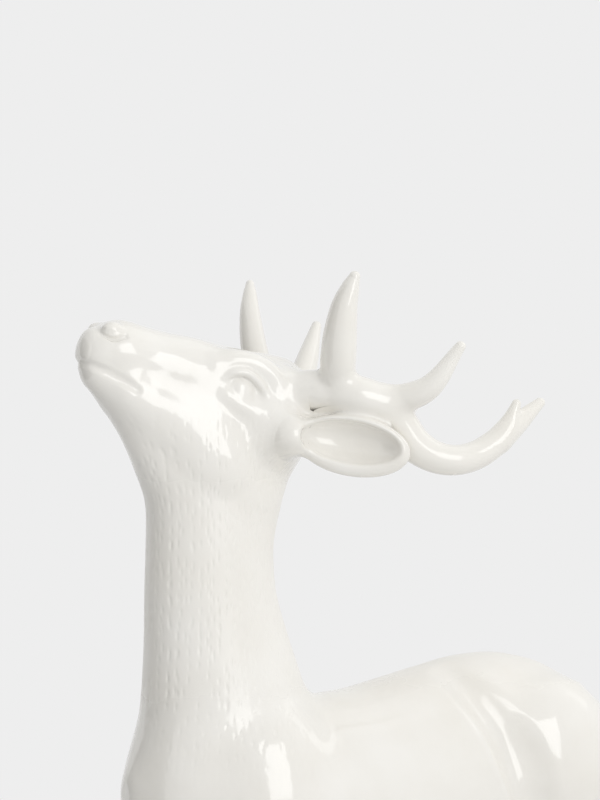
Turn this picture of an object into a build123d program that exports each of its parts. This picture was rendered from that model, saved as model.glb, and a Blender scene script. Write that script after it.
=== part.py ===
"""Light-up reindeer for a porch or yard: a hollow, glazed white ceramic deer that stands on four
legs with its nose raised. A battery lamp unit closes a port in its belly and shines through the
body. The antlers plug into the skull and lift off for packing.

Frame, in millimetres: the deer faces -Y, +Z is up, +X is the deer's left, and the origin is on the
ground below the middle of the bounding box.
"""
import os
from math import cos, pi, radians, sin

from build123d import *

os.makedirs("parts", exist_ok=True)

# ---------------------------------------------------------------- ceramic castings
WALL = 5.0              # thickness of the cast ceramic
NECK_SEAM_Z = 362.0     # plane where the head and neck casting meets the torso
FRONT_SEAM_Z = 190.0    # plane where a front leg casting meets the torso
REAR_SEAM_Z = 206.0     # plane where a rear leg casting meets the torso
HEAD_PITCH = 12.0       # degrees that the nose is raised
PAD_HEIGHT = 3.0        # rubber pad under each hoof
SPIGOT_LENGTH = 12.0    # locating stub on top of each leg casting
SPIGOT_RADIUS = 8.5
SPIGOT_GAP = 0.3        # slip and glaze allowance round a stub

# Torso sections from the brisket to the rump: y, top z, bottom z, half width.
TORSO = [
    (-182, 313, 288, 8),
    (-178, 322, 276, 16),
    (-168, 340, 246, 30),
    (-145, 352, 220, 44),
    (-110, 356, 207, 54),
    (-70, 354, 204, 59),
    (-25, 358, 206, 62),
    (15, 367, 212, 61),
    (50, 375, 221, 56),
    (80, 377, 230, 53),
    (110, 371, 239, 52),
    (140, 355, 248, 46),
    (165, 334, 262, 34),
    (180, 316, 282, 18),
    (184, 308, 290, 9),
]
# Neck sections from the withers up to the jaw: z, front y, back y, half width.
NECK = [
    (300, -170, -46, 44),
    (335, -171, -56, 43),
    (362, -168, -63, 39),
    (390, -167, -73, 34),
    (420, -167, -83, 31),
    (450, -166, -85, 30),
    (478, -166, -77.5, 29.5),
    (494, -174, -71, 29),
    (508, -180, -66, 27.5),
    (530, -193, -63, 24),
    (545, -204, -63, 19),
    (562, -208, -72, 13),
]
# Head sections from the nose to the poll: y and z of the centre, half height, half width.
HEAD = [
    (-211, 569, 9, 9),
    (-204, 569.5, 16, 15),
    (-190, 567, 19.5, 18),
    (-170, 562, 19, 18),
    (-150, 557, 20, 21),
    (-130, 551, 22, 27),
    (-110, 546, 23, 31),
    (-90, 541, 24, 32),
    (-72, 536, 23, 29),
    (-58, 532, 18, 22),
    (-50, 530, 10, 12),
]
# Leg sections from inside the torso down to the hoof: z, x, y, half depth, half width.
FRONT_LEG = [
    (330, 24, -96, 24, 15),
    (300, 33, -98, 33, 21),
    (245, 37, -103, 27, 19),
    (FRONT_SEAM_Z, 38, -108, 18, 14.5),
    (150, 38, -112, 14, 12),
    (114, 38, -114, 13.5, 12.5),
    (96, 38, -113, 11.5, 10.5),
    (60, 38, -111, 9, 8.5),
    (38, 38, -111, 11, 10),
    (25, 38, -115, 10, 9.5),
    (12, 38, -119, 15, 12),
    (PAD_HEIGHT, 38, -121, 18, 13.5),
]
REAR_LEG = [
    (352, 20, 104, 26, 13),
    (335, 28, 107, 38, 20),
    (300, 37, 111, 46, 23),
    (250, 38, 111, 39, 21),
    (REAR_SEAM_Z, 39, 111, 26, 16),
    (178, 39, 119, 20, 13.5),
    (150, 39, 133, 15, 11.5),
    (126, 39, 146, 14.5, 11.5),
    (104, 39, 149, 11.5, 10),
    (66, 39, 145, 9.5, 8.5),
    (38, 39, 142, 11.5, 10),
    (24, 39, 138, 10.5, 9.5),
    (12, 39, 134, 15, 12),
    (PAD_HEIGHT, 39, 132, 18, 13.5),
]
TAIL = [
    ((0, 166, 326), 11),
    ((0, 184, 331), 11.5),
    ((0, 199, 321), 9.5),
    ((0, 207.9, 302), 5),
]
EYE_CENTRE, EYE_RADIUS = (24, -119, 547), 9.0
HOOF_HALF_DEPTH = 18.0
CLEFT_WIDTH, CLEFT_DEPTH, CLEFT_HEIGHT = 1.8, 9.0, 20.0   # split at the front of each hoof

# ---------------------------------------------------------------- antlers (deer's left)
# Each limb is a list of (point, radius).
BEAM = [
    ((32, -72, 543.8), 11.2),
    ((36, -67.32, 543.8), 11.8),
    ((41, -61.5, 543.5), 11.5),
    ((50, -51.7, 541.4), 11.3),
    ((54, -37, 535.5), 11.5),
    ((55.5, -25.5, 524.5), 11.4),
    ((57.8, -16.2, 511.8), 11),
    ((61.4, -4.2, 503.7), 10),
    ((65, 8.9, 501.1), 9.4),
    ((66.5, 23.6, 503.8), 9),
    ((68, 37.6, 511.7), 8.4),
    ((70, 51.6, 522.9), 6.9),
    ((71.5, 68, 536), 3.3),
]
BROW_TINE = [
    ((46, -60, 546), 8),
    ((48.5, -63.5, 557), 10.6),
    ((52, -65, 568), 10.8),
    ((55, -65.5, 580), 10),
    ((58.5, -65, 594), 8.1),
    ((62, -63, 605), 5.7),
    ((64.5, -61.5, 611.5), 3.5),
]
BROW_SCALES = (1.0, 0.78)                       # thickness of the left and right brow tine
END_TINE = [
    ((68.5, 40, 513), 6.5),
    ((71, 46, 525), 5),
    ((73, 49.5, 535.5), 2.6),
]
BEZ_START = (55, -34, 536)
BEZ_TIPS = ((86, 0, 570), (86, 0, 586))         # left; the right tine stands a little higher
BEZ_BOWS = ((3, 2, -8), (3, 2, 0))              # how far its middle is bowed from straight
BEZ_RADII = (9.5, 7.6, 3.3)

PEG_BASE = (32, -72, 543.8)                     # middle of the joint between skull and antler
PEG_AXIS = (0.65, 0.76, 0.0)                    # the way the antler slides off
PEG_RADIUS = 4.0
PEG_DOWN, PEG_UP = 20.0, 9.0                    # peg length below and above the joint
SOCKET_RADIUS = 5.8                             # outside of the sleeve the peg runs in
SOCKET_GAP = 0.05                               # radial play of the peg in its sleeve
JOINT_GAP = 0.5                                 # glaze clearance between skull and antler
PEDICLE_RADIUS = 11.5
SPOT_FACE_RADIUS = 13.5                         # flat ground in the skull round the antler's foot

# ---------------------------------------------------------------- ears (deer's left)
EAR_ROOT = (14, -99, 522.5)
EAR_BASE = (38.8, -86.3, 515.7)
EAR_AXIS = (0.488, 0.845, -0.170)               # from its base to its tip
EAR_FACE = (0.85, -0.50, 0.05)                  # the way the cup opens
EAR_LENGTH = 68.0
EAR_HALF = (35.0, 18.5, 14.0)                   # half length, half width and depth of the outside
EAR_HOLLOW = (31.0, 14.5, 14.0)
EAR_STALK_RADIUS = 9.0

# ---------------------------------------------------------------- lamp unit, centred on (0, UNIT_Y)
UNIT_Y = -15.0
RIM = (88, 120)                                 # raised rim round the port
POCKET = (78, 110)                              # pocket in that rim that the unit sits in
HOLE = (56, 88)                                 # hole through the seat
SEAT_Z, SEAT_WALL = 222.0, 7.0
FRAME_THICK, GASKET_THICK, FLANGE_THICK = 6.0, 1.5, 3.0
FLANGE = (74, 106)
SLEEVE_OUT, SLEEVE_IN, SLEEVE_TALL = (55.4, 87.4), (51.4, 83.4), 10.0
GASKET_WINDOW = (54, 86)
HOUSING = (50.6, 82.6)
HOUSING_WALL = 1.6
HOUSING_TOP_Z = 242.0
CORNER = 6.0
SCREW_XY = (31.5, 47.5)
BAY = (47.4, 60.0)                              # battery bay across and along
BAY_Y = UNIT_Y - 9.0
BAY_TOP_Z, FLOOR_THICK = 231.5, 2.0
CELL_RADIUS, CELL_LENGTH, CELL_PITCH, CELL_Z = 7.2, 49.2, 15.2, 222.6
NUB_RADIUS, NUB_LENGTH = 2.7, 1.0
CONTACT_THICK = 0.5
DOOR, DOOR_THICK, SEAL_THICK, DOOR_GAP = (50.0, 64.0), 1.8, 0.6, 0.2
HINGE_Y, HINGE_RADIUS, KNUCKLE_RADIUS = BAY_Y - 35.5, 1.0, 2.2
HINGE_GAP = 0.05
KNUCKLE_HALF, HINGE_HALF = 14.7, 22.0
SWITCH_Y = UNIT_Y + 32.0
SWITCH = (16.0, 8.0, 6.0)
KNOB_TRAVEL = 3.0
DIFFUSER_RADIUS, DIFFUSER_TALL, DIFFUSER_WALL, PLATE_THICK = 22.0, 74.0, 1.6, 2.0
POST_RADIUS, POST_WALL, POST_TALL = 7.0, 1.5, 46.0
LED_BOARD_RADIUS, BOARD_THICK = 8.6, 1.6
DRIVER_Y = UNIT_Y - 24.0
DRIVER = (34.0, 22.0)
DRIVER_SCREW_X = 12.0
POST_XY = (20.5, 36.5)                          # diffuser screw posts from the unit's centre
STANDOFF = 2.5

GASKET_TOP_Z = SEAT_Z - FRAME_THICK
FLANGE_TOP_Z = GASKET_TOP_Z - GASKET_THICK
FLANGE_LOW_Z = FLANGE_TOP_Z - FLANGE_THICK
DOOR_TOP_Z = FLANGE_LOW_Z + DOOR_THICK
LEDGE_Z = DOOR_TOP_Z + SEAL_THICK
HINGE_Z = FLANGE_LOW_Z + 0.5
FLOOR_Z = BAY_TOP_Z + FLOOR_THICK
BOARD_Z = FLOOR_Z + STANDOFF
LED_Z = FLOOR_Z + POST_TALL


# ---------------------------------------------------------------- helpers
def save(shape, name):
    export_step(shape, f"parts/{name}.step")


def mirrored(shape):
    return mirror(shape, about=Plane.YZ)


def lerp(a, b, t):
    return tuple(p + (q - p) * t for p, q in zip(a, b))


def on_plane(origin, normal, across=(1, 0, 0)):
    """A plane at origin whose local x lies as near to across as it can."""
    z = Vector(*normal).normalized()
    x = Vector(*across)
    x = (x - z * x.dot(z)).normalized()
    return Plane(origin=origin, x_dir=x, z_dir=z)


def slopes(keys, values):
    """Slopes of a curve through the values that never overshoots them."""
    steps = [(values[i + 1] - values[i]) / (keys[i + 1] - keys[i]) for i in range(len(keys) - 1)]
    inner = [0 if a * b <= 0 else 2 * a * b / (a + b) for a, b in zip(steps, steps[1:])]
    return [steps[0]] + inner + [steps[-1]]


def curve_value(keys, values, key):
    """The value at key on the smooth curve through the table."""
    i = 0
    while i < len(keys) - 2 and (key - keys[i + 1]) * (keys[-1] - keys[0]) > 0:
        i += 1
    tilt = slopes(keys, values)
    span = keys[i + 1] - keys[i]
    t = (key - keys[i]) / span
    start = values[i] * (1 + 2 * t) * (1 - t) ** 2 + tilt[i] * span * t * (1 - t) ** 2
    return start + values[i + 1] * t * t * (3 - 2 * t) + tilt[i + 1] * span * t * t * (t - 1)


def smooth_rows(table, step, trim=0.0):
    """The table with more rows, closer together near its ends, leaving trim off both ends."""
    keys = [row[0] for row in table]
    way = 1 if keys[-1] > keys[0] else -1
    first, last = keys[0] + way * trim, keys[-1] - way * trim
    count = max(2, round(abs(last - first) / step))
    rows = []
    for i in range(count + 1):
        t = i / count
        key = first + (last - first) * (t - 0.7 * sin(2 * pi * t) / (2 * pi))
        rows.append([key] + [curve_value(keys, column, key) for column in list(zip(*table))[1:]])
    return rows


def torso_loft(inset=0.0, trim=0.0):
    faces = []
    for y, top, low, half in smooth_rows(TORSO, 15, trim):
        plane = on_plane((0, y, (top + low) / 2), (0, 1, 0))
        faces.append(plane * Ellipse(half - inset, (top - low) / 2 - inset))
    return loft(faces)


def neck_loft(inset=0.0, trim=0.0):
    faces = []
    for z, front, back, half in smooth_rows(NECK, 16, trim):
        faces.append(Pos(0, (front + back) / 2, z) * Ellipse(half - inset, (back - front) / 2 - inset))
    return loft(faces)


def head_loft(inset=0.0, trim=0.0):
    normal = (0, cos(radians(HEAD_PITCH)), -sin(radians(HEAD_PITCH)))
    faces = []
    for y, z, tall, half in smooth_rows(HEAD, 12, trim):
        faces.append(on_plane((0, y, z), normal) * Ellipse(half - inset, tall - inset))
    return loft(faces)


def leg_loft(table, inset=0.0, trim=0.0):
    faces = []
    for z, x, y, deep, half in smooth_rows(table, 11, trim):
        faces.append(Pos(x, y, z) * Ellipse(half - inset, deep - inset))
    return loft(faces)


def horn(points, step=9.0):
    """A round tapered limb through (point, radius) pairs with a ball at its free end."""
    path = Spline([p for p, _ in points])
    knots = [path.param_at_point(p) for p, _ in points]
    radii = [r for _, r in points]
    count = max(3, round(path.length / step))
    faces = []
    for i in range(count + 1):
        t = i / count
        faces.append(on_plane(path @ t, path % t) * Circle(curve_value(knots, radii, t)))
    return loft(faces) + Pos(*points[-1][0]) * Sphere(points[-1][1])


def slab(size, low, high, y=UNIT_Y, corner=CORNER):
    """An upright block with rounded corners between two heights."""
    return Pos(0, y, low) * extrude(RectangleRounded(size[0], size[1], corner), high - low)


def block(x, y, z):
    """A plain block from its three (low, high) pairs."""
    middle = Pos(sum(x) / 2, sum(y) / 2, sum(z) / 2)
    return middle * Box(x[1] - x[0], y[1] - y[0], z[1] - z[0])


def upright(radius, low, high, x=0.0, y=UNIT_Y):
    return Pos(x, y, (low + high) / 2) * Cylinder(radius, high - low)


def crossbar(radius, x_low, x_high, y, z):
    """A cylinder along X."""
    return Pos((x_low + x_high) / 2, y, z) * Rot(0, 90, 0) * Cylinder(radius, x_high - x_low)


def corners(dx, dy, y=UNIT_Y):
    return [(sx * dx, y + sy * dy) for sx in (-1, 1) for sy in (-1, 1)]


def above(shape, z):
    return split(shape, Plane((0, 0, z)), keep=Keep.TOP)


def below(shape, z):
    return split(shape, Plane((0, 0, z)), keep=Keep.BOTTOM)


# ---------------------------------------------------------------- legs, torso and tail
def hoof_cleft(x, y):
    front = y - HOOF_HALF_DEPTH - 1
    return block((x - CLEFT_WIDTH / 2, x + CLEFT_WIDTH / 2), (front, front + CLEFT_DEPTH),
                 (PAD_HEIGHT - 1, PAD_HEIGHT + CLEFT_HEIGHT))


def seam_centre(table, seam):
    row = next(row for row in table if row[0] == seam)
    return row[1], row[2]


def make_leg(table, seam):
    """A solid leg casting below its seam, with a stub on top and a cloven hoof."""
    x, y = seam_centre(table, seam)
    foot_x, foot_y = table[-1][1], table[-1][2]
    leg = below(leg_loft(table), seam) - hoof_cleft(foot_x, foot_y)
    return leg + upright(SPIGOT_RADIUS, seam - 2, seam + SPIGOT_LENGTH, x, y)


def hoof_pad(table):
    _, x, y, deep, half = table[-1]
    return Pos(x, y, 0) * extrude(Ellipse(half - 0.5, deep - 0.5), PAD_HEIGHT)


def torso_outside():
    """The torso with the root of the neck and of all four legs, before it is hollowed."""
    body = torso_loft() + below(neck_loft(), NECK_SEAM_Z)
    for table, seam in ((FRONT_LEG, FRONT_SEAM_Z), (REAR_LEG, REAR_SEAM_Z)):
        root = above(leg_loft(table), seam)
        body = body + root + mirrored(root)
    return body


def make_torso(outside):
    body = outside - torso_loft(WALL, 2 * WALL)
    body = body - neck_loft(WALL)
    body = body + slab(RIM, FLANGE_LOW_Z, SEAT_Z + SEAT_WALL, corner=12)
    body = body - slab(POCKET, FLANGE_LOW_Z - 40, SEAT_Z) - slab(HOLE, SEAT_Z - 1, SEAT_Z + 40)
    for table, seam in ((FRONT_LEG, FRONT_SEAM_Z), (REAR_LEG, REAR_SEAM_Z)):
        x, y = seam_centre(table, seam)
        for side in (-1, 1):
            socket = upright(SPIGOT_RADIUS + SPIGOT_GAP, seam - 5, seam + SPIGOT_LENGTH + 1, side * x, y)
            body = body - socket
    return body


# ---------------------------------------------------------------- head, ears and antlers
def peg_plane(shift=0.0):
    axis = Vector(*PEG_AXIS).normalized()
    return on_plane(Vector(*PEG_BASE) + axis * shift, tuple(axis))


def along_peg(radius, low, high):
    """A cylinder on the left peg's axis between two distances from the joint."""
    return peg_plane(low) * extrude(Circle(radius), high - low)


def head_outside():
    """Head and neck above the seam, with eyeballs."""
    shape = above(neck_loft(), NECK_SEAM_Z) + head_loft()
    eye = Pos(*EYE_CENTRE) * Sphere(EYE_RADIUS)
    return shape + eye + mirrored(eye)


def make_head(outside):
    pedicle = along_peg(PEDICLE_RADIUS, -PEG_DOWN - 5, -JOINT_GAP)
    drill = along_peg(SOCKET_RADIUS, -PEG_DOWN - 1, 5)
    shape = outside - neck_loft(WALL) - head_loft(WALL, WALL + 3)
    shape = shape + pedicle + mirrored(pedicle)
    spot_face = along_peg(SPOT_FACE_RADIUS, -JOINT_GAP, 20)
    return shape - spot_face - mirrored(spot_face) - drill - mirrored(drill)


def make_socket():
    sleeve = along_peg(SOCKET_RADIUS, -PEG_DOWN - 1, -JOINT_GAP)
    return sleeve - along_peg(PEG_RADIUS + SOCKET_GAP, -PEG_DOWN - 0.5, 5)


def make_peg():
    return along_peg(PEG_RADIUS, -PEG_DOWN, PEG_UP)


def make_antler(side, peg):
    """The left antler for side 0; side 1 gives the right one's own tines, before it is mirrored."""
    bez_tip = BEZ_TIPS[side]
    middle = tuple(m + b for m, b in zip(lerp(BEZ_START, bez_tip, 0.5), BEZ_BOWS[side]))
    bez = list(zip((BEZ_START, middle, bez_tip), BEZ_RADII))
    brow = [(point, radius * BROW_SCALES[side]) for point, radius in BROW_TINE]
    return horn(BEAM) + horn(brow) + horn(bez) + horn(END_TINE) - peg


def ear_frame():
    """A frame at the middle of the left ear: x along it, z the way it opens."""
    axis = Vector(*EAR_AXIS).normalized()
    middle = Vector(*EAR_BASE) + axis * (EAR_LENGTH / 2)
    return on_plane(middle, tuple(Vector(*EAR_FACE) - axis * axis.dot(Vector(*EAR_FACE))), tuple(axis))


def make_ear(head):
    """A leaf-shaped cup on a short stalk, trimmed where it meets the skull."""
    shell = scale(Sphere(1), by=EAR_HALF)
    hollow = Pos(1, 0, 6) * scale(Sphere(1), by=EAR_HOLLOW)
    front = Pos(0, 0, 4 + 25) * Box(100, 60, 50)
    cup = ear_frame() * (shell - hollow - front)
    way = Vector(*EAR_BASE) - Vector(*EAR_ROOT)
    stalk = on_plane(EAR_ROOT, tuple(way)) * extrude(Circle(EAR_STALK_RADIUS), way.length + 6)
    return cup + (stalk - ear_frame() * hollow) - head


# ---------------------------------------------------------------- lamp unit
def make_port_frame():
    """Plastic frame bonded to the seat, with a sleeve up through the hole."""
    frame = slab(FLANGE, GASKET_TOP_Z, SEAT_Z) + slab(SLEEVE_OUT, SEAT_Z - 1, SEAT_Z + SLEEVE_TALL)
    frame = frame - slab(SLEEVE_IN, GASKET_TOP_Z - 1, SEAT_Z + SLEEVE_TALL + 1)
    for x, y in corners(*SCREW_XY):
        frame = frame - upright(2.6, GASKET_TOP_Z - 1, GASKET_TOP_Z + 5, x, y)
    return frame


def make_inserts():
    ring = [upright(2.6, GASKET_TOP_Z, GASKET_TOP_Z + 5, x, y)
            - upright(1.5, GASKET_TOP_Z - 1, GASKET_TOP_Z + 6, x, y) for x, y in corners(*SCREW_XY)]
    return Compound(ring)


def make_gasket():
    gasket = slab(FLANGE, FLANGE_TOP_Z, GASKET_TOP_Z)
    gasket = gasket - slab(GASKET_WINDOW, FLANGE_TOP_Z - 1, GASKET_TOP_Z + 1)
    for x, y in corners(*SCREW_XY):
        gasket = gasket - upright(1.9, FLANGE_TOP_Z - 1, GASKET_TOP_Z + 1, x, y)
    return gasket


def base_screw(x, y):
    head = upright(3.2, FLANGE_LOW_Z - 2, FLANGE_LOW_Z, x, y)
    cross = block((x - 2, x + 2), (y - 0.4, y + 0.4), (FLANGE_LOW_Z - 3, FLANGE_LOW_Z - 1))
    cross = cross + block((x - 0.4, x + 0.4), (y - 2, y + 2), (FLANGE_LOW_Z - 3, FLANGE_LOW_Z - 1))
    return head - cross + upright(1.5, FLANGE_LOW_Z - 0.5, GASKET_TOP_Z + 4.5, x, y)


def make_housing():
    """The lamp unit's flange and box: battery bay below, electronics tray above."""
    outside = slab(FLANGE, FLANGE_LOW_Z, FLANGE_TOP_Z) + slab(HOUSING, FLANGE_TOP_Z - 1, HOUSING_TOP_Z)
    bay_y = (BAY_Y - BAY[1] / 2, BAY_Y + BAY[1] / 2)
    bay = block((-BAY[0] / 2, BAY[0] / 2), bay_y, (FLANGE_LOW_Z - 1, BAY_TOP_Z))
    inner = (HOUSING[0] - 2 * HOUSING_WALL, HOUSING[1] - 2 * HOUSING_WALL)
    tray = slab(inner, FLOOR_Z, HOUSING_TOP_Z + 1, corner=CORNER - HOUSING_WALL)
    well = block((-20, 20), (SWITCH_Y - 7, SWITCH_Y + 7), (FLANGE_LOW_Z + 2, FLOOR_Z + 1))
    housing = outside - bay - tray - well
    recess = (DOOR[0] / 2 + DOOR_GAP, DOOR[1] / 2 + DOOR_GAP)
    housing = housing - block((-recess[0], recess[0]), (BAY_Y - recess[1], BAY_Y + recess[1]),
                              (FLANGE_LOW_Z - 1, LEDGE_Z))
    housing = housing - upright(7, FLANGE_LOW_Z - 1, FLANGE_LOW_Z + 1.4, 0, BAY_Y + DOOR[1] / 2)
    housing = housing - block((-3.9, 3.9), (SWITCH_Y - 2.1, SWITCH_Y + 2.1),
                              (FLANGE_LOW_Z - 1, FLANGE_LOW_Z + 3))
    for x in (-CELL_PITCH / 2, CELL_PITCH / 2):
        housing = housing + block((x - 1, x + 1), (bay_y[0] + 8, bay_y[1] - 8), (CELL_Z + 5, BAY_TOP_Z + 1))
    for x, y in corners(*SCREW_XY):
        housing = housing - upright(1.8, FLANGE_LOW_Z - 1, FLANGE_TOP_Z + 1, x, y)
    return add_posts(add_hinge(housing))


def add_hinge(housing):
    """Two fixed knuckles below the flange, with a gap between them for the door's knuckle."""
    for side in (-1, 1):
        ends = sorted((side * (KNUCKLE_HALF + 0.3), side * HINGE_HALF))
        housing = housing + crossbar(KNUCKLE_RADIUS, ends[0], ends[1], HINGE_Y, HINGE_Z)
    gap = block((-KNUCKLE_HALF - 0.3, KNUCKLE_HALF + 0.3), (HINGE_Y - 2.7, BAY_Y - DOOR[1] / 2),
                (FLANGE_LOW_Z - 3, FLANGE_TOP_Z + 0.1))
    housing = housing - gap
    return housing - crossbar(HINGE_RADIUS, -HINGE_HALF - 1, HINGE_HALF + 1, HINGE_Y, HINGE_Z)


def add_posts(housing):
    """Screw posts in the tray: four for the diffuser plate and two for the driver board."""
    for x, y in corners(*POST_XY):
        housing = housing + upright(3, FLOOR_Z - 0.5, HOUSING_TOP_Z, x, y)
        housing = housing - upright(1.1, HOUSING_TOP_Z - 6, HOUSING_TOP_Z + 1, x, y)
    for x in (-DRIVER_SCREW_X, DRIVER_SCREW_X):
        housing = housing + upright(2.6, FLOOR_Z - 0.5, BOARD_Z, x, DRIVER_Y)
        housing = housing - upright(1.0, FLOOR_Z + 0.2, BOARD_Z + 1, x, DRIVER_Y)
    return housing


def make_door():
    """The battery door, with its knuckle on the front edge."""
    edge = BAY_Y - DOOR[1] / 2
    plate = slab(DOOR, FLANGE_LOW_Z, DOOR_TOP_Z, BAY_Y, corner=1.0)
    rib_z = (DOOR_TOP_Z - 0.5, DOOR_TOP_Z + 1)
    ribs = [block((-16, 16), (BAY_Y + s - 1, BAY_Y + s + 1), rib_z) for s in (-14, 14)]
    tongue = block((-KNUCKLE_HALF, KNUCKLE_HALF), (HINGE_Y, edge + 1), (FLANGE_LOW_Z, DOOR_TOP_Z))
    knuckle = crossbar(KNUCKLE_RADIUS, -KNUCKLE_HALF, KNUCKLE_HALF, HINGE_Y, HINGE_Z)
    pin_hole = crossbar(HINGE_RADIUS + HINGE_GAP, -HINGE_HALF, HINGE_HALF, HINGE_Y, HINGE_Z)
    return plate + ribs[0] + ribs[1] + tongue + knuckle - pin_hole


def make_door_seal():
    ring = slab((DOOR[0] - 0.6, DOOR[1] - 0.6), DOOR_TOP_Z, LEDGE_Z, BAY_Y, corner=1.0)
    return ring - slab((BAY[0] - 1.4, BAY[1] - 0.8), DOOR_TOP_Z - 1, LEDGE_Z + 1, BAY_Y, corner=1.0)


def contact_end(way):
    """Y of the bay wall at the end that way points to."""
    return BAY_Y + way * BAY[1] / 2


def make_cell(x, way):
    """An AA cell whose positive nub points along Y by way (-1 or 1) and touches its plate."""
    tip = contact_end(way) - way * CONTACT_THICK
    shoulder = tip - way * NUB_LENGTH
    nub = Pos(x, (tip + shoulder) / 2, CELL_Z) * Rot(90, 0, 0) * Cylinder(NUB_RADIUS, NUB_LENGTH)
    middle = shoulder - way * CELL_LENGTH / 2
    can = Pos(x, middle, CELL_Z) * Rot(90, 0, 0) * Cylinder(CELL_RADIUS, CELL_LENGTH)
    can = fillet(can.edges(), 0.5)
    return can + nub


def plate(x, way):
    wall = contact_end(way)
    depth = tuple(sorted((wall, wall - way * CONTACT_THICK)))
    return block((x - 5, x + 5), depth, (CELL_Z - 5, CELL_Z + 6))


def make_spring(x, way):
    """A coil spring on a plate at the bay wall opposite the nub; way is where the nub points."""
    wall = contact_end(-way)
    length = BAY[1] - 2 * CONTACT_THICK - NUB_LENGTH - CELL_LENGTH
    coil_length = length - 0.9
    helix = Helix(pitch=1.9, height=coil_length, radius=3.4)
    wire = sweep(on_plane(helix @ 0, helix % 0, (0, 0, 1)) * Circle(0.42), path=helix)
    turn = Rot(-90 * way, 0, 0)
    start = wall + way * (CONTACT_THICK + 0.3)
    return Pos(x, start, CELL_Z) * turn * wire + plate(x, -way)


def make_switch():
    x, y = SWITCH[0] / 2, SWITCH[1] / 2
    low = FLANGE_LOW_Z + 2
    body = block((-x, x), (SWITCH_Y - y, SWITCH_Y + y), (low, low + SWITCH[2]))
    body = fillet(body.edges().filter_by(Axis.Z), 0.8)
    for pin_x in (-5, 0, 5):
        body = body + block((pin_x - 0.6, pin_x + 0.6), (SWITCH_Y - 0.2, SWITCH_Y + 0.2),
                            (low + SWITCH[2] - 1, low + SWITCH[2] + 4))
    return body - block((-3.6, 3.6), (SWITCH_Y - 1.9, SWITCH_Y + 1.9), (low - 1, low + 1.5))


def make_knob():
    """The slide switch's knob at its off end."""
    low = FLANGE_LOW_Z
    x = -KNOB_TRAVEL / 2
    stem = block((x - 1.7, x + 1.7), (SWITCH_Y - 1.6, SWITCH_Y + 1.6), (low - 1.5, low + 3))
    pad = block((x - 3.2, x + 3.2), (SWITCH_Y - 3, SWITCH_Y + 3), (low - 2.6, low - 0.6))
    pad = fillet(pad.edges().filter_by(Axis.Z), 1.0)
    knob = stem + pad
    for shift in (-1.6, 0, 1.6):
        knob = knob - block((x + shift - 0.3, x + shift + 0.3), (SWITCH_Y - 4, SWITCH_Y + 4),
                            (low - 3, low - 2.1))
    return knob


def make_diffuser():
    """Frosted dome on a plate that closes the electronics tray."""
    base = slab(HOUSING, HOUSING_TOP_Z, HOUSING_TOP_Z + PLATE_THICK)
    dome_z = HOUSING_TOP_Z + DIFFUSER_TALL - DIFFUSER_RADIUS
    outer = upright(DIFFUSER_RADIUS, HOUSING_TOP_Z, dome_z)
    outer = outer + Pos(0, UNIT_Y, dome_z) * Sphere(DIFFUSER_RADIUS)
    inner_radius = DIFFUSER_RADIUS - DIFFUSER_WALL
    inner = upright(inner_radius, HOUSING_TOP_Z - 1, dome_z)
    inner = inner + Pos(0, UNIT_Y, dome_z) * Sphere(inner_radius)
    diffuser = base + outer - inner
    for x, y in corners(*POST_XY):
        diffuser = diffuser - upright(1.3, HOUSING_TOP_Z - 1, HOUSING_TOP_Z + PLATE_THICK + 1, x, y)
    return diffuser


def small_screw(x, y, seat, head_radius, shank, length):
    head = upright(head_radius, seat, seat + 1.4, x, y)
    slot = block((x - head_radius, x + head_radius), (y - 0.3, y + 0.3), (seat + 0.7, seat + 2))
    return head - slot + upright(shank, seat - length, seat + 0.3, x, y)


def make_led_post():
    """Aluminium tube that carries the light board and its heat."""
    tube = upright(POST_RADIUS, FLOOR_Z, LED_Z) + upright(POST_RADIUS + 3.5, FLOOR_Z, FLOOR_Z + 2)
    return tube - upright(POST_RADIUS - POST_WALL, FLOOR_Z - 1, LED_Z + 1)


def led_chip(angle, out):
    spot = Pos(out * cos(angle), UNIT_Y + out * sin(angle), LED_Z + BOARD_THICK + 0.4)
    return spot * Box(2.8, 3.5, 0.8)


def make_driver_board():
    board = slab(DRIVER, BOARD_Z, BOARD_Z + BOARD_THICK, DRIVER_Y, corner=1.5)
    for x in (-DRIVER_SCREW_X, DRIVER_SCREW_X):
        board = board - upright(1.3, BOARD_Z - 1, BOARD_Z + BOARD_THICK + 1, x, DRIVER_Y)
    return board


def make_lead(x):
    """A wire from the driver board's top, up beside the post, to the light board's underside."""
    top = BOARD_Z + BOARD_THICK
    foot_y = DRIVER_Y + DRIVER[1] / 2 - 2.5
    side_y = UNIT_Y - (7.85 ** 2 - x * x) ** 0.5
    path = Spline([(x, foot_y, top), (x, foot_y + 0.4, top + 3), (x, side_y - 0.4, top + 9),
                   (x, side_y, top + 14), (x, side_y, LED_Z - 6), (x, side_y, LED_Z)],
                  tangents=[(0, 0, 1), (0, 0, 1)])
    return sweep(Plane((x, foot_y, top)) * Circle(0.6), path=path)


# ---------------------------------------------------------------- build everything
def make_ceramics():
    outside = torso_outside()
    save(make_torso(outside), "torso_shell")
    for name, table, seam in (("front", FRONT_LEG, FRONT_SEAM_Z), ("rear", REAR_LEG, REAR_SEAM_Z)):
        leg = make_leg(table, seam)
        save(leg, f"{name}_left_leg")
        save(mirrored(leg), f"{name}_right_leg")
    pads = [hoof_pad(FRONT_LEG), hoof_pad(REAR_LEG)]
    save(Compound(pads + [mirrored(pad) for pad in pads]), "hoof_pads")
    save(horn(TAIL) - outside, "tail")


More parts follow.
